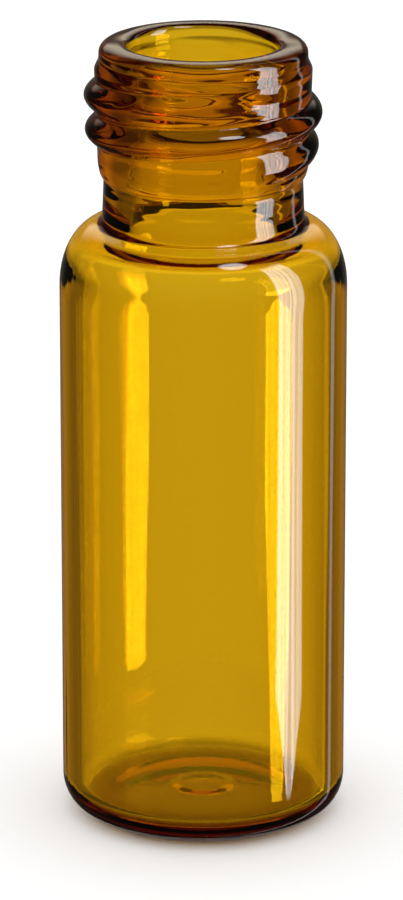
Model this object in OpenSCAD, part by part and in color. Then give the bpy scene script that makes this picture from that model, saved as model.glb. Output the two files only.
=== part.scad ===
// Small screw-neck sample vial of amber glass: one piece drawn from tubing, with no cap.
// Millimetres, +Z up, standing on its base at z = 0 with its axis on Z.

/* [Body] */
// Outside diameter of the straight body
body_d = 11.6; // [10.6:0.1:14.5]
// Height from the base to the rim
total_h = 32.35; // [26:0.05:46]
// Thickness of the side wall
wall_t = 0.7; // [0.5:0.05:0.95]

/* [Base] */
// Outside radius of the corner between wall and base
heel_r = 1.5; // [0.9:0.05:1.8]
// Inside radius of the corner between wall and floor
floor_corner_r = 0.7; // [0.5:0.05:1.2]
// Thickness of the floor, measured beside the button
floor_t = 0.5; // [0.4:0.05:1]
// Rise of the shallow hollow under the base
base_hollow = 0.4; // [0.2:0.05:0.5]
// Width of the flat ring that the vial stands on
foot_w = 0.4; // [0.3:0.05:0.7]
// Diameter of the low button in the middle of the floor
button_d = 2.35; // [1.6:0.05:3.2]
// Height of the button
button_h = 0.1; // [0.04:0.01:0.15]
// Width of the button's rounded edge
button_edge = 0.3; // [0.2:0.05:0.5]

/* [Shoulder] */
// Height of the curve from the straight body to the crown of the shoulder
shoulder_h = 2.52; // [2:0.02:3.2]
// Distance from the neck out to where the shoulder's oval has its crown
crown_gap = 0.15; // [0.05:0.05:0.3]
// Radius of the curve where the shoulder turns into the neck
neck_root_r = 0.45; // [0.3:0.05:0.7]
// Inside radius of the corner between the wall and the cavity's ceiling
cavity_corner_r = 1.1; // [0.8:0.05:1.3]
// Thickness of the glass between the crown of the shoulder and the ceiling, beside the bore
ceiling_t = 0.4; // [0.3:0.05:0.6]
// Slope of the ceiling up to the bore, in degrees
ceiling_slope = 20; // [12:1:28]

/* [Neck] */
// Diameter of the bore through the neck
mouth_d = 6; // [5:0.1:7.2]
// Height of the bare neck, from the crown of the shoulder to the waist
bare_neck_h = 1.93; // [1.5:0.01:3]
// Thickness of the glass where the neck meets the shoulder
neck_root_t = 1.06; // [1:0.01:1.3]
// Thickness of the glass at the waist, under the collar
waist_t = 1; // [0.8:0.01:1.1]

/* [Collar] */
// Height of the rounded underside of the collar
collar_under_h = 0.95; // [0.6:0.05:1.1]
// Thickness of the glass just above the collar's underside
collar_low_t = 1.245; // [1.15:0.005:1.4]
// Thickness of the glass at the collar's top
collar_top_t = 1.36; // [1.3:0.01:1.5]
// Distance from the rim down to the top of the collar
collar_drop = 1.05; // [0.9:0.01:1.2]

/* [Lip] */
// Thickness of the glass at the plain lip above the collar
lip_t = 1.185; // [1:0.005:1.25]
// Distance from the rim down to the foot of the lip
lip_drop = 0.67; // [0.55:0.01:0.8]
// Radius of the inside edge of the mouth
mouth_edge_r = 0.33; // [0.1:0.01:0.4]
// Radial width of the rounded outer edge of the rim
rim_edge_w = 0.47; // [0.2:0.01:0.5]
// Height of the rounded outer edge of the rim
rim_edge_h = 0.42; // [0.2:0.01:0.5]

/* [Thread] */
// Height of the ridge above the collar
thread_h = 0.48; // [0.35:0.01:0.6]
// Width of the ridge at its root, measured up the collar
thread_w = 1.28; // [1:0.02:1.34]
// Rise of the thread in one turn
thread_pitch = 1.39; // [1.35:0.01:1.7]
// Length of the thread in turns, with both faded ends
thread_turns = 2.05; // [1.25:0.05:2.5]
// Turns over which each end fades into the collar
thread_fade = 0.36; // [0.1:0.02:0.5]
// Distance from the collar's top down to the middle of the thread's upper end
thread_top_gap = 0.63; // [0.55:0.01:1]
// Distance from the middle of the thread's lower end down to the waist
thread_low_gap = 0.97; // [0.8:0.01:1.5]
// Direction in which the thread starts, in degrees from +X
thread_start = -78; // [-180:2:180]

/* [Hidden] */
$fn = 96;

glass_colour = [0.75, 0.52, 0.05, 0.6];

// Radii, from the axis outwards
body_r = body_d / 2;
inner_r = body_r - wall_t;
mouth_r = mouth_d / 2;
neck_root_outer_r = mouth_r + neck_root_t;
waist_r = mouth_r + waist_t;
collar_low_r = mouth_r + collar_low_t;
collar_top_r = mouth_r + collar_top_t;
lip_r = mouth_r + lip_t;

// Heights, from the rim downwards
lip_z = total_h - lip_drop;
collar_top_z = total_h - collar_drop;
thread_z = collar_top_z - thread_top_gap - thread_pitch * thread_turns;
waist_z = thread_z - thread_low_gap;
collar_low_z = waist_z + collar_under_h;
crown_z = waist_z - bare_neck_h;
shoulder_z = crown_z - shoulder_h;
floor_z = base_hollow + floor_t;

// Depth to which the ridge's root and its inner corners lie in the collar
ridge_sink = 0.04;
ridge_bury = 0.35;

// Steps in a rounded stretch of the outline, in a turn of the thread and across its ridge
arc_steps = 12;
turn_steps = 40;
ridge_steps = 8;

// Point at angle a on an oval about centre c, with half-widths size
function on_oval(c, size, a) = c + [size[0] * cos(a), size[1] * sin(a)];

// Stretch of an oval from angle a0 to angle a1
function oval(c, size, a0, a1, n = arc_steps) =
    [for (i = [0:n]) on_oval(c, size, a0 + (a1 - a0) * i / n)];

// Stretch of a circle of radius r from angle a0 to angle a1
function arc(c, r, a0, a1, n = arc_steps) = oval(c, [r, r], a0, a1, n);

// Direction square to an oval with half-widths size, at angle a
function oval_normal(size, a) =
    let (v = [cos(a) / size[0], sin(a) / size[1]]) v / norm(v);

// Centre of a circle of radius r that rests on the outside of an oval at angle a
function resting_centre(c, size, r, a) = on_oval(c, size, a) + r * oval_normal(size, a);

// Angle on the oval where a resting circle of radius r also touches the upright
// line at radius line_r, found by halving the span from lo to hi n times
function meeting_angle(c, size, r, line_r, lo = 30, hi = 90, n = 24) =
    let (mid = (lo + hi) / 2)
    n == 0 ? mid :
    resting_centre(c, size, r, mid)[0] > line_r + r
        ? meeting_angle(c, size, r, line_r, mid, hi, n - 1)
        : meeting_angle(c, size, r, line_r, lo, mid, n - 1);

// Outside of the shoulder, from the wall up to the neck's root
function shoulder() =
    let (
        size = [body_r - neck_root_outer_r - crown_gap, shoulder_h],
        c = [body_r - size[0], shoulder_z],
        a = meeting_angle(c, size, neck_root_r, neck_root_outer_r),
        square = oval_normal(size, a),
        tilt = atan2(square[1], square[0])
    )
    concat(
        oval(c, size, 0, a),
        arc(resting_centre(c, size, neck_root_r, a), neck_root_r, tilt - 180, -180, 8)
    );

// Inside of the shoulder, from the bore's rounded end along the sloping ceiling to the wall
function ceiling() =
    let (
        end = [mouth_r + neck_root_r, crown_z - ceiling_t + neck_root_r],
        corner_x = inner_r - cavity_corner_r,
        climb = neck_root_r + cavity_corner_r - (end[0] - corner_x) * sin(ceiling_slope),
        corner = [corner_x, end[1] - climb / cos(ceiling_slope)]
    )
    concat(
        arc(end, neck_root_r, 180, 270 - ceiling_slope, 8),
        arc(corner, cavity_corner_r, 90 - ceiling_slope, 0)
    );

// Edge of the button, from the floor up to its top
function button() =
    [for (i = [0:8])
        let (a = 180 * i / 8)
        [(button_d + button_edge * cos(a)) / 2, floor_z + button_h * (1 - cos(a)) / 2]];

// Outside of the glass, from the middle of the base to the edge of the rim
function outside() =
    let (
        foot_r = body_r - heel_r,
        hollow_r = foot_r - foot_w,
        dish_r = (pow(hollow_r, 2) + pow(base_hollow, 2)) / (2 * base_hollow),
        dish_a = asin(hollow_r / dish_r)
    )
    concat(
        arc([0, base_hollow - dish_r], dish_r, 90, 90 - dish_a, 6),
        arc([foot_r, heel_r], heel_r, -90, 0),
        shoulder(),
        oval([waist_r, collar_low_z], [collar_low_r - waist_r, collar_under_h], -90, 0),
        [[collar_top_r, collar_top_z], [lip_r, lip_z]],
        oval([lip_r - rim_edge_w, total_h - rim_edge_h], [rim_edge_w, rim_edge_h], 0, 90)
    );

// Inside of the glass, from the mouth down to the middle of the floor
function inside() =
    concat(
        arc([mouth_r + mouth_edge_r, total_h - mouth_edge_r], mouth_edge_r, 90, 180, 8),
        ceiling(),
        arc([inner_r - floor_corner_r, floor_z + floor_corner_r], floor_corner_r, 0, -90),
        button(),
        [[0, floor_z + button_h]]
    );

// Radius of the collar's surface at height z
function collar_r(z) =
    collar_low_r + (collar_top_r - collar_low_r) * (z - collar_low_z) / (collar_top_z - collar_low_z);

// Share of its full height that the ridge has at u turns along the thread
function fade(u) =
    let (end = min(u, thread_turns - u) / thread_fade)
    end >= 1 ? 1 : sin(90 * end);

// Point of the ridge's section at radius r and height z, turned to angle a
function turned(r, z, a) = [r * cos(a), r * sin(a), z];

// Section of the ridge at u turns: a parabola on the collar, with two corners buried in the glass
function ridge_section(u) =
    let (
        a = thread_start + 360 * u,
        z = thread_z + thread_pitch * u,
        half = thread_w / 2,
        rise = (thread_h + ridge_sink) * fade(u)
    )
    concat(
        [turned(collar_r(z - half) - ridge_bury, z - half, a)],
        [for (i = [0:ridge_steps])
            let (t = 2 * i / ridge_steps - 1, at = z + half * t)
            turned(collar_r(at) - ridge_sink + rise * (1 - t * t), at, a)],
        [turned(collar_r(z + half) - ridge_bury, z + half, a)]
    );

// Screw thread: the section carried round the collar, rising anticlockwise
module thread_ridge() {
    steps = round(thread_turns * turn_steps);
    rings = [for (i = [0:steps]) ridge_section(thread_turns * i / steps)];
    n = len(rings[0]);
    sides = [for (i = [0:steps - 1], j = [0:n - 1])
        let (k = (j + 1) % n)
        [i * n + j, i * n + k, (i + 1) * n + k, (i + 1) * n + j]];
    start_cap = [for (j = [n - 1:-1:0]) j];
    end_cap = [for (j = [0:n - 1]) steps * n + j];
    polyhedron(
        points = [for (ring = rings) each ring],
        faces = concat([start_cap, end_cap], sides),
        convexity = 4
    );
}

// The whole vial: one wall turned about the axis, with its thread
module vial() {
    color(glass_colour) union() {
        rotate_extrude() polygon(concat(outside(), inside()));
        thread_ridge();
    }
}

vial();
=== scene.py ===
"""Amber glass sample vial on a plain pale stage, laid out as an add-on and run as a script."""

import math

import bpy
import numpy as np
from bpy.props import FloatProperty, FloatVectorProperty, IntProperty, PointerProperty
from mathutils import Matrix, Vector


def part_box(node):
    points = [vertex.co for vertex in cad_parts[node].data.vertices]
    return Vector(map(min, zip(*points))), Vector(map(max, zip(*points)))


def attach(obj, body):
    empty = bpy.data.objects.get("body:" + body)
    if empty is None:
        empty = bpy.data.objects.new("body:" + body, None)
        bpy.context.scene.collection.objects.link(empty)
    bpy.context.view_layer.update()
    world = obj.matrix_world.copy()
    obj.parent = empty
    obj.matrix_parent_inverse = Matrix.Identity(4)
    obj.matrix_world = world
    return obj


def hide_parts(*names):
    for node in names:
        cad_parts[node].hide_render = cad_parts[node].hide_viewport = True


bl_info = {
    "name": "Sample Vial",
    "version": (1, 0, 0),
    "blender": (4, 5, 0),
    "location": "3D View > Sidebar > Vial",
    "description": "Builds an amber screw-neck sample vial and a pale studio stage",
    "category": "Object",
}

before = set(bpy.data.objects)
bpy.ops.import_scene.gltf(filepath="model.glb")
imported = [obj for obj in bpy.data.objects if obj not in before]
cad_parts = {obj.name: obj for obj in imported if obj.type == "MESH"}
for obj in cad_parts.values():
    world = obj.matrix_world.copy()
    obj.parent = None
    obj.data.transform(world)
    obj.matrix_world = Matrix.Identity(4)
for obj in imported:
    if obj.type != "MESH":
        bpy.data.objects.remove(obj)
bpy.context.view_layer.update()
CAD_LOW, CAD_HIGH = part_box("vial")
MM = 0.001


# ---------------------------------------------------------------- sizes

def length(name, mm, description):
    """A length property whose default is given in millimetres."""
    return FloatProperty(name=name, default=mm * MM, min=0.0, unit="LENGTH", precision=5,
                         description=description)


def angle(name, degrees, description):
    """An angle property whose default is given in degrees."""
    return FloatProperty(name=name, default=math.radians(degrees), subtype="ANGLE",
                         description=description)


def strength(name, default, description):
    """A brightness property."""
    return FloatProperty(name=name, default=default, min=0.0, description=description)


class VialSizes(bpy.types.PropertyGroup):
    """Sizes of the glass."""

    body_d: FloatProperty(name="Body diameter", default=CAD_HIGH.x - CAD_LOW.x, unit="LENGTH",
                          precision=5, description="Outside diameter of the straight body")
    total_h: FloatProperty(name="Height", default=CAD_HIGH.z - CAD_LOW.z, unit="LENGTH",
                           precision=5, description="Height from the base to the rim")
    wall_t: length("Wall", 0.7, "Thickness of the side wall")
    heel_r: length("Heel radius", 1.5, "Outside corner between wall and base")
    floor_corner_r: length("Floor corner", 0.7, "Inside corner between wall and floor")
    floor_t: length("Floor", 0.5, "Thickness of the floor beside the button")
    base_hollow: length("Base hollow", 0.4, "Rise of the hollow under the base")
    foot_w: length("Foot", 0.4, "Width of the flat ring that the vial stands on")
    button_d: length("Button", 2.35, "Diameter of the low button in the middle of the floor")
    button_h: length("Button height", 0.1, "Height of the button")
    button_edge: length("Button edge", 0.3, "Width of the button's rounded edge")
    shoulder_h: length("Shoulder height", 2.52, "Height of the curve up to the shoulder's crown")
    crown_gap: length("Crown gap", 0.15, "Distance from the neck to the shoulder's crown")
    cavity_corner_r: length("Cavity corner", 1.1, "Inside corner between wall and ceiling")
    ceiling_t: length("Ceiling glass", 0.4, "Glass between the shoulder's crown and the ceiling")
    ceiling_slope: angle("Ceiling slope", 20, "Rise of the cavity's ceiling towards the bore")
    neck_root_r: length("Neck root radius", 0.45, "Curve where the shoulder turns into the neck")
    mouth_d: length("Mouth", 6.0, "Diameter of the bore through the neck")
    bare_neck_h: length("Bare neck", 1.93, "Height from the shoulder's crown to the waist")
    neck_root_t: length("Neck root glass", 1.06, "Thickness of the glass at the neck's root")
    waist_t: length("Waist glass", 1.0, "Thickness of the glass at the waist")
    collar_under_h: length("Collar underside", 0.95, "Height of the collar's rounded underside")
    collar_low_t: length("Collar glass, low", 1.245, "Thickness of the glass low on the collar")
    collar_top_t: length("Collar glass, top", 1.36, "Thickness of the glass at the collar's top")
    collar_drop: length("Collar drop", 1.05, "Distance from the rim down to the collar's top")
    lip_t: length("Lip glass", 1.185, "Thickness of the glass at the plain lip")
    lip_drop: length("Lip drop", 0.67, "Distance from the rim down to the foot of the lip")
    mouth_edge_r: length("Mouth edge", 0.33, "Radius of the inside edge of the mouth")
    rim_edge_w: length("Rim edge width", 0.47, "Radial width of the rim's rounded outer edge")
    rim_edge_h: length("Rim edge height", 0.42, "Height of the rim's rounded outer edge")
    thread_h: length("Thread height", 0.48, "Height of the ridge above the collar")
    thread_w: length("Thread width", 1.28, "Width of the ridge at its root")
    thread_pitch: length("Thread pitch", 1.39, "Rise of the thread in one turn")
    thread_turns: FloatProperty(name="Thread turns", default=2.05, min=1.0,
                                description="Length of the thread, with both faded ends")
    thread_fade: FloatProperty(name="Thread fade", default=0.36, min=0.1,
                               description="Turns over which each end fades out")
    thread_top_gap: length("Thread top gap", 0.63, "Collar's top down to the thread's upper end")
    thread_low_gap: length("Thread low gap", 0.97, "Thread's lower end down to the waist")
    thread_start: angle("Thread start", -78, "Direction in which the thread starts, from +X")
    softening: length("Softening", 0.035, "How far the fire-polished corners are eased")
    rows: IntProperty(name="Rows", default=372, min=40,
                      description="Rings of points along the outline")
    columns: IntProperty(name="Columns", default=256, min=16, description="Points round each ring")
    line_scale: FloatProperty(name="Line scale", default=2200.0,
                              description="Drawn lines: features per metre round the body")
    line_depth: FloatProperty(name="Line depth", default=6e-6, precision=7, unit="LENGTH",
                              description="Drawn lines: depth")
    wave_scale: FloatProperty(name="Wave scale", default=900.0,
                              description="Waves of the neck: features per metre")
    wave_depth: FloatProperty(name="Wave depth", default=1.2e-4, precision=6, unit="LENGTH",
                              description="Waves of the neck: depth")
    refraction: FloatProperty(name="Refraction", default=1.52, min=1.0,
                              description="Refractive index of the glass")
    glass: FloatVectorProperty(name="Glass takes off", default=(300.0, 650.0, 3600.0), size=3,
                               description="Light that the glass takes off per metre: red, green, blue")


class StageSizes(bpy.types.PropertyGroup):
    """Floor, lights and camera."""

    floor_size: FloatProperty(name="Floor", default=8.0, unit="LENGTH",
                              description="Diameter of the round floor")
    foot_r: length("Foot disc", 5.3, "Radius of the part of the floor that shows through the glass")
    distance: length("Camera distance", 225, "From the camera to the point that it turns about")
    elevation: angle("Camera elevation", 17.4, "How far the camera looks down")
    pivot_h: length("Camera pivot", 16, "Height of the point that the camera turns about")
    aim: FloatVectorProperty(name="Aim", default=(-0.073 * MM, 0, 15.32 * MM), size=3,
                             subtype="TRANSLATION", description="Point that the camera looks at")
    lens: FloatProperty(name="Lens", default=221.4,
                        description="Focal length in millimetres on a 36 mm side")
    daylight: strength("Daylight", 1.32, "White surround that lights the floor")
    panel: strength("Panel", 0.9, "Panel behind the vial, at camera height")
    side: strength("Side", 0.3, "What the glass shows beside the panel")
    top: strength("Top", 1.2, "What the glass shows overhead")
    room: strength("Room", 0.03, "Light left in the darkest part of the studio")
    softbox: strength("Softbox", 8.0, "Tall softbox on the right")
    softbox_turn: angle("Softbox direction", 21.5, "From +X round towards the camera")
    softbox_half: angle("Softbox half width", 13.5, "From the softbox's middle line to its side")
    mirror_shift: angle("Mirror shift", 6.0, "Turn of the softbox for what the glass mirrors")
    strip: strength("Strip", 1.1, "Thin strip beside the softbox")
    strip_turn: angle("Strip direction", 37, "From +X round towards the back")
    strip_half: angle("Strip half width", 4.5, "From the strip's middle line to its side")
    spot: strength("Spot", 9.0, "Spot overhead")
    spot_at: FloatVectorProperty(name="Spot direction", default=(0.299, -0.299, 0.906), size=3,
                                 subtype="DIRECTION", description="Direction of the spot")
    warmth: FloatVectorProperty(name="Warmth", default=(1.0, 0.9, 0.7), size=3, subtype="COLOR",
                                description="Colour of the panel behind the vial")


# ---------------------------------------------------------------- outline of the glass

def oval(centre, size, a0, a1, n=48):
    """Points centre + (size_r cos a, size_z sin a), with a from a0 to a1 degrees."""
    a = np.radians(np.linspace(a0, a1, n))
    return np.stack([centre[0] + size[0] * np.cos(a), centre[1] + size[1] * np.sin(a)], 1)


def arc(centre, radius, a0, a1, n=48):
    """Points on a circle: centre + radius (cos a, sin a)."""
    return oval(centre, (radius, radius), a0, a1, n)


def shoulder(wall_r, z, neck_r, v):
    """Quarter oval from the wall inwards, then a circle that touches both the oval and the neck.

    The circle's centre lies one radius off the oval along the oval's normal
    (cos a / size_r, sin a / size_z), and one radius outside the neck. The angle a at which both
    hold is read off a fine table of the oval.
    """
    size = (wall_r - neck_r - v.crown_gap, v.shoulder_h)
    centre = (wall_r - size[0], z)
    angles = np.linspace(30, 90, 6001)
    edge = oval(centre, size, 30, 90, 6001)
    square = np.stack([np.cos(np.radians(angles)) / size[0], np.sin(np.radians(angles)) / size[1]], 1)
    square /= np.linalg.norm(square, axis=1, keepdims=True)
    centres = edge + v.neck_root_r * square
    k = int(np.argmin(np.abs(centres[:, 0] - neck_r - v.neck_root_r)))
    tilt = math.degrees(math.atan2(square[k, 1], square[k, 0]))
    return np.vstack([oval(centre, size, 0, angles[k], 90),
                      arc(centres[k], v.neck_root_r, tilt - 180, -180, 40)])


def ceiling(wall_r, bore_r, z, v):
    """Bore's rounded lower end, sloping ceiling and rounded corner, down to the cavity's wall.

    Both circles touch the ceiling, whose normal is n = (sin slope, cos slope), so that
    (upper centre - lower centre) . n is the sum of their radii.
    """
    s = v.ceiling_slope
    upper = np.array([bore_r + v.neck_root_r, z + v.neck_root_r])
    lower_r = wall_r - v.cavity_corner_r
    climb = v.neck_root_r + v.cavity_corner_r - (upper[0] - lower_r) * math.sin(s)
    lower = (lower_r, upper[1] - climb / math.cos(s))
    return np.vstack([arc(upper, v.neck_root_r, 180, 270 - math.degrees(s), 40),
                      arc(lower, v.cavity_corner_r, 90 - math.degrees(s), 0, 40)])


def button(floor, v):
    """Edge of the floor's button as half a cosine wave, and the middle of its top."""
    a = np.linspace(0, math.pi, 32)
    radius = (v.button_d + v.button_edge * np.cos(a)) / 2
    height = floor + v.button_h * (1 - np.cos(a)) / 2
    return np.vstack([np.stack([radius, height], 1), [(0, floor + v.button_h)]])


def heights(v):
    """Heights of the neck's features, stacked down from the rim."""
    collar_top = v.total_h - v.collar_drop
    thread = collar_top - v.thread_top_gap - v.thread_pitch * v.thread_turns
    waist = thread - v.thread_low_gap
    return {
        "lip": v.total_h - v.lip_drop,
        "collar_top": collar_top,
        "thread": thread,
        "waist": waist,
        "collar_low": waist + v.collar_under_h,
        "shoulder": waist - v.bare_neck_h - v.shoulder_h,
        "crown": waist - v.bare_neck_h,
        "floor": v.base_hollow + v.floor_t,
    }


def glass_outline(v):
    """Half section of the glass as (radius, height): base, outside, rim, bore, cavity, floor."""
    z = heights(v)
    body_r, mouth_r = v.body_d / 2, v.mouth_d / 2
    inner_r = body_r - v.wall_t
    foot_r = body_r - v.heel_r
    hollow_r = foot_r - v.foot_w
    dish_r = (hollow_r ** 2 + v.base_hollow ** 2) / (2 * v.base_hollow)
    dish_a = math.degrees(math.asin(hollow_r / dish_r))
    waist_r, lip_r = mouth_r + v.waist_t, mouth_r + v.lip_t
    outside = np.vstack([
        arc((0, v.base_hollow - dish_r), dish_r, 90, 90 - dish_a),
        arc((foot_r, v.heel_r), v.heel_r, -90, 0),
        shoulder(body_r, z["shoulder"], mouth_r + v.neck_root_t, v),
        oval((waist_r, z["collar_low"]), (v.collar_low_t - v.waist_t, v.collar_under_h), -90, 0),
        [(mouth_r + v.collar_top_t, z["collar_top"]), (lip_r, z["lip"])],
        oval((lip_r - v.rim_edge_w, v.total_h - v.rim_edge_h), (v.rim_edge_w, v.rim_edge_h), 0, 90),
    ])
    inside = np.vstack([
        arc((mouth_r + v.mouth_edge_r, v.total_h - v.mouth_edge_r), v.mouth_edge_r, 90, 180),
        ceiling(inner_r, mouth_r, z["crown"] - v.ceiling_t, v),
        arc((inner_r - v.floor_corner_r, z["floor"] + v.floor_corner_r), v.floor_corner_r, 0, -90),
        button(z["floor"], v),
    ])
    return outside, inside


def along(points):
    """Distance from the first point to each point, measured along the line."""
    return np.concatenate([[0], np.cumsum(np.linalg.norm(np.diff(points, axis=0), axis=1))])


def softened(points, ease, step):
    """The line resampled every step and averaged with a bell of width ease, its ends held."""
    s = along(points)
    t = np.arange(0, s[-1], step)
    line = np.stack([np.interp(t, s, points[:, 0]), np.interp(t, s, points[:, 1])], 1)
    reach = int(math.ceil(3 * ease / step))
    bell = np.exp(-0.5 * (np.arange(-reach, reach + 1) * step / ease) ** 2)
    bell /= bell.sum()
    padded = np.vstack([2 * line[0] - line[reach:0:-1], line, 2 * line[-1] - line[-2:-reach - 2:-1]])
    return np.stack([np.convolve(padded[:, k], bell, "valid") for k in (0, 1)], 1)


def spread(points, weight, rows):
    """Rows points of the line, spaced so that each step holds the same share of weight."""
    share = np.concatenate([[0], np.cumsum((weight[1:] + weight[:-1]) / 2)])
    pick = np.interp(np.linspace(0, share[-1], rows), share, np.arange(len(points)))
    grid = np.arange(len(points))
    return np.stack([np.interp(pick, grid, points[:, 0]), np.interp(pick, grid, points[:, 1])], 1), pick


def ridge(z, turn, v):
    """Height of the thread over the collar at height z and angle turn.

    The ridge's middle climbs one pitch a turn from its start. Across it the height is
    h (1 - t squared), with t the distance from the middle over half the width, and along it the
    height grows and fades as a quarter sine. Its root is eased as sqrt(x squared + e squared) - e.
    """
    start = heights(v)["thread"]
    first = np.mod(turn - v.thread_start, 2 * math.pi) / (2 * math.pi)
    ease = 0.02 * MM
    height = np.zeros(np.broadcast(z, turn).shape)
    for lap in range(int(math.ceil(v.thread_turns))):
        u = first + lap
        end = np.clip(np.minimum(u, v.thread_turns - u) / v.thread_fade, 0, 1)
        t = (z - start - v.thread_pitch * u) / (v.thread_w / 2)
        hump = v.thread_h * np.sin(end * math.pi / 2) * np.clip(1 - t ** 2, 0, None)
        height = np.maximum(height, hump)
    return np.sqrt(height ** 2 + ease ** 2) - ease


def glass_surface(v):
    """Grid of points (row, column, xyz) of the whole glass, and its two poles.

    A point is (r cos a, r sin a, z), where (r, z) runs along the softened outline and r has the
    thread's ridge added outside. Rows lie closer where the outline bends and across the thread.
    """
    outside, inside = glass_outline(v)
    step = 0.01 * MM
    line = softened(np.vstack([outside, inside]), v.softening, step)
    line[0, 0] = line[-1, 0] = 0
    direction = np.gradient(line, axis=0)
    heading = np.unwrap(np.arctan2(direction[:, 1], direction[:, 0]))
    bend = np.abs(np.gradient(heading))
    outer = np.arange(len(line)) < np.argmax(line[:, 1])
    z = heights(v)
    on_collar = outer & (line[:, 1] > z["waist"]) & (line[:, 1] < z["collar_top"])
    weight = 0.012 + bend * 2.2 + on_collar * 0.16
    points, pick = spread(line, weight, v.rows)
    turn = np.linspace(0, 2 * math.pi, v.columns, endpoint=False)[None, :]
    radius, height = points[1:-1, 0][:, None], points[1:-1, 1][:, None]
    threaded = np.interp(pick[1:-1], np.arange(len(line)), on_collar.astype(float))[:, None]
    radius = radius + threaded * ridge(height, turn, v)
    grid = np.stack([radius * np.cos(turn), radius * np.sin(turn), height + 0 * turn], 2)
    return grid, (0, 0, points[0, 1]), (0, 0, points[-1, 1])


def closed_mesh(name, grid, first_pole, last_pole):
    """Mesh of a grid that closes round each row, with a fan of triangles to a pole at each end."""
    rows, columns, _ = grid.shape
    co = np.vstack([grid.reshape(-1, 3), [first_pole], [last_pole]])
    index = np.arange(rows * columns).reshape(rows, columns)
    after = np.roll(index, -1, axis=1)
    quads = np.stack([index[:-1], after[:-1], after[1:], index[1:]], 2).reshape(-1, 4)
    start = np.stack([np.full(columns, rows * columns), after[0], index[0]], 1)
    end = np.stack([np.full(columns, rows * columns + 1), index[-1], after[-1]], 1)
    corners = np.concatenate([quads.ravel(), start.ravel(), end.ravel()])
    sizes = np.concatenate([np.full(len(quads), 4), np.full(len(start) + len(end), 3)])
    mesh = bpy.data.meshes.new(name)
    mesh.vertices.add(len(co))
    mesh.vertices.foreach_set("co", co.astype(np.float32).ravel())
    mesh.loops.add(len(corners))
    mesh.loops.foreach_set("vertex_index", corners.astype(np.int32))
    mesh.polygons.add(len(sizes))
    starts = np.concatenate([[0], np.cumsum(sizes)[:-1]])
    mesh.polygons.foreach_set("loop_start", starts.astype(np.int32))
    mesh.polygons.foreach_set("use_smooth", np.ones(len(sizes), bool))
    mesh.update(calc_edges=True)
    mesh.validate()
    return mesh


# ---------------------------------------------------------------- materials

class Wire:
    """A value on its way between nodes: arithmetic on it adds Math nodes."""

    def __init__(self, nodes, socket):
        self.nodes = nodes
        self.socket = socket

    def math(self, operation, *others):
        """This value and the others through one Math node."""
        node = self.nodes.add("ShaderNodeMath", {"operation": operation})
        for k, value in enumerate((self, *others)):
            self.nodes.feed(node.inputs[k], value)
        return Wire(self.nodes, node.outputs[0])

    def __add__(self, other):
        return self.math("ADD", other)

    def __mul__(self, other):
        return self.math("MULTIPLY", other)

    def __sub__(self, other):
        return self.math("SUBTRACT", other)

    def __rsub__(self, other):
        return (self * -1) + other

    def __truediv__(self, other):
        return self.math("DIVIDE", other)

    __radd__ = __add__
    __rmul__ = __mul__

    def steps(self, low, high):
        """0 below low, 1 above high, and a smooth climb between."""
        node = self.nodes.add("ShaderNodeMapRange", {"interpolation_type": "SMOOTHSTEP"},
                              Value=self, From_Min=low, From_Max=high)
        return Wire(self.nodes, node.outputs[0])

    def past(self, low, high):
        """The same for an angle, with low and high in degrees."""
        return self.steps(math.radians(low), math.radians(high))


class Nodes:
    """Adds nodes to one node tree."""

    def __init__(self, tree):
        self.tree = tree
        tree.nodes.clear()

    def feed(self, socket, value):
        """Puts a number or colour on the socket, or links a socket or wire to it."""
        if isinstance(value, Wire):
            value = value.socket
        if isinstance(value, bpy.types.NodeSocket):
            self.tree.links.new(value, socket)
        else:
            socket.default_value = value

    def add(self, kind, settings=None, **sockets):
        """A node of that type. settings come first, then sockets by name, spaces as underscores."""
        node = self.tree.nodes.new(kind)
        for key, value in (settings or {}).items():
            setattr(node, key, value)
        for key, value in sockets.items():
            self.feed(node.inputs[key.replace("_", " ")], value)
        return node

    def wires(self, node):
        """The node's outputs as wires."""
        return [Wire(self, socket) for socket in node.outputs]


def noise(n, place, squeeze, scale):
    """Noise of that scale, drawn out along the axes whose squeeze is under 1."""
    squeezed = n.add("ShaderNodeMapping", Vector=place, Scale=squeeze).outputs[0]
    return n.wires(n.add("ShaderNodeTexNoise", Vector=squeezed, Scale=scale, Detail=1.0))[0]


def amber_glass(v):
    """Clear glass that takes off light by its depth, most of the blue and little of the red.

    Its surface has faint lines along the body, from drawing the tube, and soft waves on the
    formed neck: height = line_depth x lines x body + wave_depth x waves x neck.
    """
    material = bpy.data.materials.new("amber_glass")
    material.use_nodes = True
    n = Nodes(material.node_tree)
    take = max(v.glass)
    place = n.add("ShaderNodeTexCoord").outputs["Object"]
    z = n.wires(n.add("ShaderNodeSeparateXYZ", Vector=place))[2]
    lines = noise(n, place, (1, 1, 0.02), v.line_scale)
    waves = noise(n, place, (0.3, 0.3, 1.6), v.wave_scale)
    neck = z.steps(heights(v)["crown"], heights(v)["waist"])
    body = 1 - z.steps(heights(v)["shoulder"], heights(v)["crown"])
    height = lines * body * v.line_depth + waves * neck * v.wave_depth
    bump = n.add("ShaderNodeBump", Height=height.socket, Distance=1.0, Strength=1.0)
    surface = n.add("ShaderNodeBsdfPrincipled", Base_Color=(1, 1, 1, 1), Roughness=0.0, IOR=v.refraction,
                    Transmission_Weight=1.0, Normal=bump.outputs[0])
    volume = n.add("ShaderNodeVolumeAbsorption", Density=take,
                   Color=(*(1 - c / take for c in v.glass), 1))
    n.add("ShaderNodeOutputMaterial", Surface=surface.outputs[0], Volume=volume.outputs[0])
    return material


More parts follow.
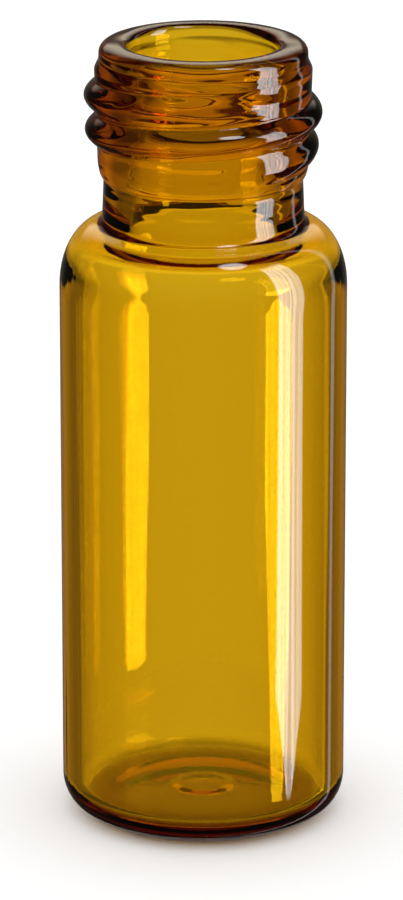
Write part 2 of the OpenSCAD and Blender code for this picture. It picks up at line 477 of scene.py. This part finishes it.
def pale_floor():
    """Matt off-white sheet."""
    material = bpy.data.materials.new("pale_floor")
    material.use_nodes = True
    n = Nodes(material.node_tree)
    surface = n.add("ShaderNodeBsdfPrincipled", Base_Color=(0.9, 0.9, 0.9, 1), Roughness=0.8,
                    Specular_IOR_Level=0.1)
    n.add("ShaderNodeOutputMaterial", Surface=surface.outputs[0])
    return material


# ---------------------------------------------------------------- operators

def link(name, data):
    """A new object at the origin."""
    made = bpy.data.objects.new(name, data)
    bpy.context.scene.collection.objects.link(made)
    return made


class VIAL_OT_glass(bpy.types.Operator):
    """Build the glass body with its thread"""

    bl_idname = "vial.glass"
    bl_label = "Glass"

    def execute(self, context):
        v = context.scene.vial_sizes
        body = link("glass_body", closed_mesh("glass_body", *glass_surface(v)))
        body.data.materials.append(amber_glass(v))
        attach(body, "root")
        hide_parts("vial")
        return {"FINISHED"}


def sheet(name, inner, outer, material):
    """Flat ring, or disc when inner is 0, in the plane that the vial stands on."""
    turn = np.linspace(0, 2 * math.pi, 96, endpoint=False)
    edge = np.stack([np.cos(turn), np.sin(turn), 0 * turn], 1)
    n = len(turn)
    mesh = bpy.data.meshes.new(name)
    if inner:
        faces = [(k, n + k, n + (k + 1) % n, (k + 1) % n) for k in range(n)]
        mesh.from_pydata(np.vstack([edge * inner, edge * outer]).tolist(), [], faces)
    else:
        mesh.from_pydata((edge * outer).tolist(), [], [tuple(range(n))])
    made = link(name, mesh)
    mesh.materials.append(material)
    return made


def floor(size, foot):
    """Pale floor. The part outside the foot is not seen through the glass or in it."""
    material = pale_floor()
    wide = sheet("floor", foot, size / 2, material)
    wide.visible_glossy = False
    wide.visible_transmission = False
    sheet("floor_under", 0, foot, material)


def studio_light(v, aside, rise, mirrored):
    """Brightness of the room: a panel behind the vial, dimmer sides and front, light overhead.

    aside is the angle from the back of the studio and rise the angle above the horizon. Through
    the glass the panel is panel x (1 + upper / 2) and the sides are side + 0.3 upper, where upper
    grows with rise. Both dim towards the floor, and overhead it is top. The glass mirrors the
    panel alone, brightest at the height that the flat rim shows.
    """
    back = 1 - aside.past(10, 38)
    front = aside.past(80, 110)
    upper = rise.past(-12, 4)
    top = rise.past(30, 50)
    low = rise.past(-36, -24)
    sides = (v.side + upper * 0.3).math("MAXIMUM", front * 0.55)
    level = v.panel * (1 + upper * 0.5) * back + (1 - back) * sides
    through = level * (low * 0.55 + 0.45) * (1 - top) + v.top * top
    bounced = low * (1 - top) * back * (rise.past(10, 16) * 1.3 + 0.1)
    return v.room + through * (1 - mirrored) + bounced * mirrored


def lamp_light(v, n, axes, heading, rise, mirrored):
    """Brightness of the lamps: a tall softbox, a thin strip beside it and a spot overhead.

    The softbox narrows to a point at its foot: it is lit where the angle from its middle line
    is less than foot x half width. Pleats run up its cloth, which is brighter on one side, and
    through the glass it is brighter still low down. The strip is lit within its half width,
    and the spot where the cosine of the angle from its direction is near 1.
    """
    pleats = n.add("ShaderNodeTexNoise", {"noise_dimensions": "1D"}, W=heading, Scale=16.0, Detail=2.0)
    pleats = n.wires(pleats)[0].steps(0.38, 0.62)
    middle = heading + v.softbox_turn - mirrored * v.mirror_shift
    foot = rise.past(-21.5, -20.0) * mirrored + rise.past(-24.5, -17.5) * (1 - mirrored)
    box = (foot * v.softbox_half - middle.math("ABSOLUTE")).past(0.0, 1.5) * (1 - rise.past(40, 50))
    box = box * (1 - middle * 1.1) * (0.55 + pleats * 0.65)
    box = box * (1 + (1 - mirrored) * (1.7 - rise.past(-13, -9) * 1.9))
    strip = (v.strip_half - (heading - v.strip_turn).math("ABSOLUTE")).past(0.0, 3.5)
    x, y, z = (axis * part for axis, part in zip(axes, v.spot_at))
    spot = (x + y + z).steps(0.985, 0.993)
    return box * v.softbox + strip * v.strip + spot * v.spot


def surround(v):
    """White daylight for the floor and the view, and a studio for the glass to bend and mirror.

    The light's direction (x, y, z) gives heading, the angle round from +X, aside, the angle from
    +Y, and rise, the angle above the horizon.
    """
    world = bpy.data.worlds.new("surround")
    world.use_nodes = True
    world.cycles.sampling_method = "NONE"
    n = Nodes(world.node_tree)
    direction = n.add("ShaderNodeTexCoord").outputs["Generated"]
    x, y, z = n.wires(n.add("ShaderNodeSeparateXYZ", Vector=direction))
    ray = n.add("ShaderNodeLightPath")
    mirrored = 1 - Wire(n, ray.outputs["Is Transmission Ray"])
    matt = Wire(n, ray.outputs["Diffuse Depth"]).math("MINIMUM", 1.0)
    seen = Wire(n, ray.outputs["Is Camera Ray"])
    across = (x * x + y * y).math("SQRT")
    heading = y.math("ARCTAN2", x)
    aside = (y / across).math("ARCCOSINE")
    rise = z.math("ARCTAN2", across)

    panel = n.add("ShaderNodeBackground", Color=(*v.warmth, 1),
                  Strength=studio_light(v, aside, rise, mirrored))
    lamps = n.add("ShaderNodeBackground", Color=(1, 1, 1, 1),
                  Strength=lamp_light(v, n, (x, y, z), heading, rise, mirrored))
    both = n.add("ShaderNodeAddShader")
    n.feed(both.inputs[0], panel.outputs[0])
    n.feed(both.inputs[1], lamps.outputs[0])
    daylight = n.add("ShaderNodeBackground", Color=(1, 1, 1, 1), Strength=v.daylight)
    mix = n.add("ShaderNodeMixShader", Fac=seen.math("MAXIMUM", matt))
    n.feed(mix.inputs[1], both.outputs[0])
    n.feed(mix.inputs[2], daylight.outputs[0])
    n.add("ShaderNodeOutputWorld", Surface=mix.outputs[0])
    bpy.context.scene.world = world


def camera(v):
    """Long lens in front of the vial, looking down at its middle."""
    lens = bpy.data.cameras.new("camera")
    lens.lens = v.lens
    lens.sensor_width = 36
    lens.clip_start = 0.01
    eye = link("camera", lens)
    eye.location = (0, -v.distance * math.cos(v.elevation),
                    v.pivot_h + v.distance * math.sin(v.elevation))
    eye.rotation_euler = (Vector(v.aim) - eye.location).to_track_quat("-Z", "Y").to_euler()
    bpy.context.scene.camera = eye


class VIAL_OT_stage(bpy.types.Operator):
    """Lay the floor, set the lights and place the camera"""

    bl_idname = "vial.stage"
    bl_label = "Stage"

    def execute(self, context):
        v = context.scene.vial_stage
        floor(v.floor_size, v.foot_r)
        surround(v)
        camera(v)
        scene = context.scene
        scene.view_settings.view_transform = "Standard"
        scene.cycles.max_bounces = 24
        scene.cycles.transmission_bounces = 24
        scene.cycles.glossy_bounces = 12
        return {"FINISHED"}


class VIAL_PT_panel(bpy.types.Panel):
    """Lists the vial's operators"""

    bl_idname = "VIAL_PT_panel"
    bl_label = "Sample Vial"
    bl_space_type = "VIEW_3D"
    bl_region_type = "UI"
    bl_category = "Vial"

    def draw(self, context):
        for operator in OPERATORS:
            self.layout.operator(operator.bl_idname)
        for group in (context.scene.vial_sizes, context.scene.vial_stage):
            box = self.layout.box()
            for name in group.__annotations__:
                box.prop(group, name)


OPERATORS = (VIAL_OT_glass, VIAL_OT_stage)
CLASSES = (VialSizes, StageSizes, *OPERATORS, VIAL_PT_panel)


def register():
    for made in CLASSES:
        bpy.utils.register_class(made)
    bpy.types.Scene.vial_sizes = PointerProperty(type=VialSizes)
    bpy.types.Scene.vial_stage = PointerProperty(type=StageSizes)


def unregister():
    del bpy.types.Scene.vial_stage
    del bpy.types.Scene.vial_sizes
    for made in reversed(CLASSES):
        bpy.utils.unregister_class(made)


def main():
    register()
    bpy.ops.vial.glass()
    bpy.ops.vial.stage()


if __name__ == "__main__":
    main()
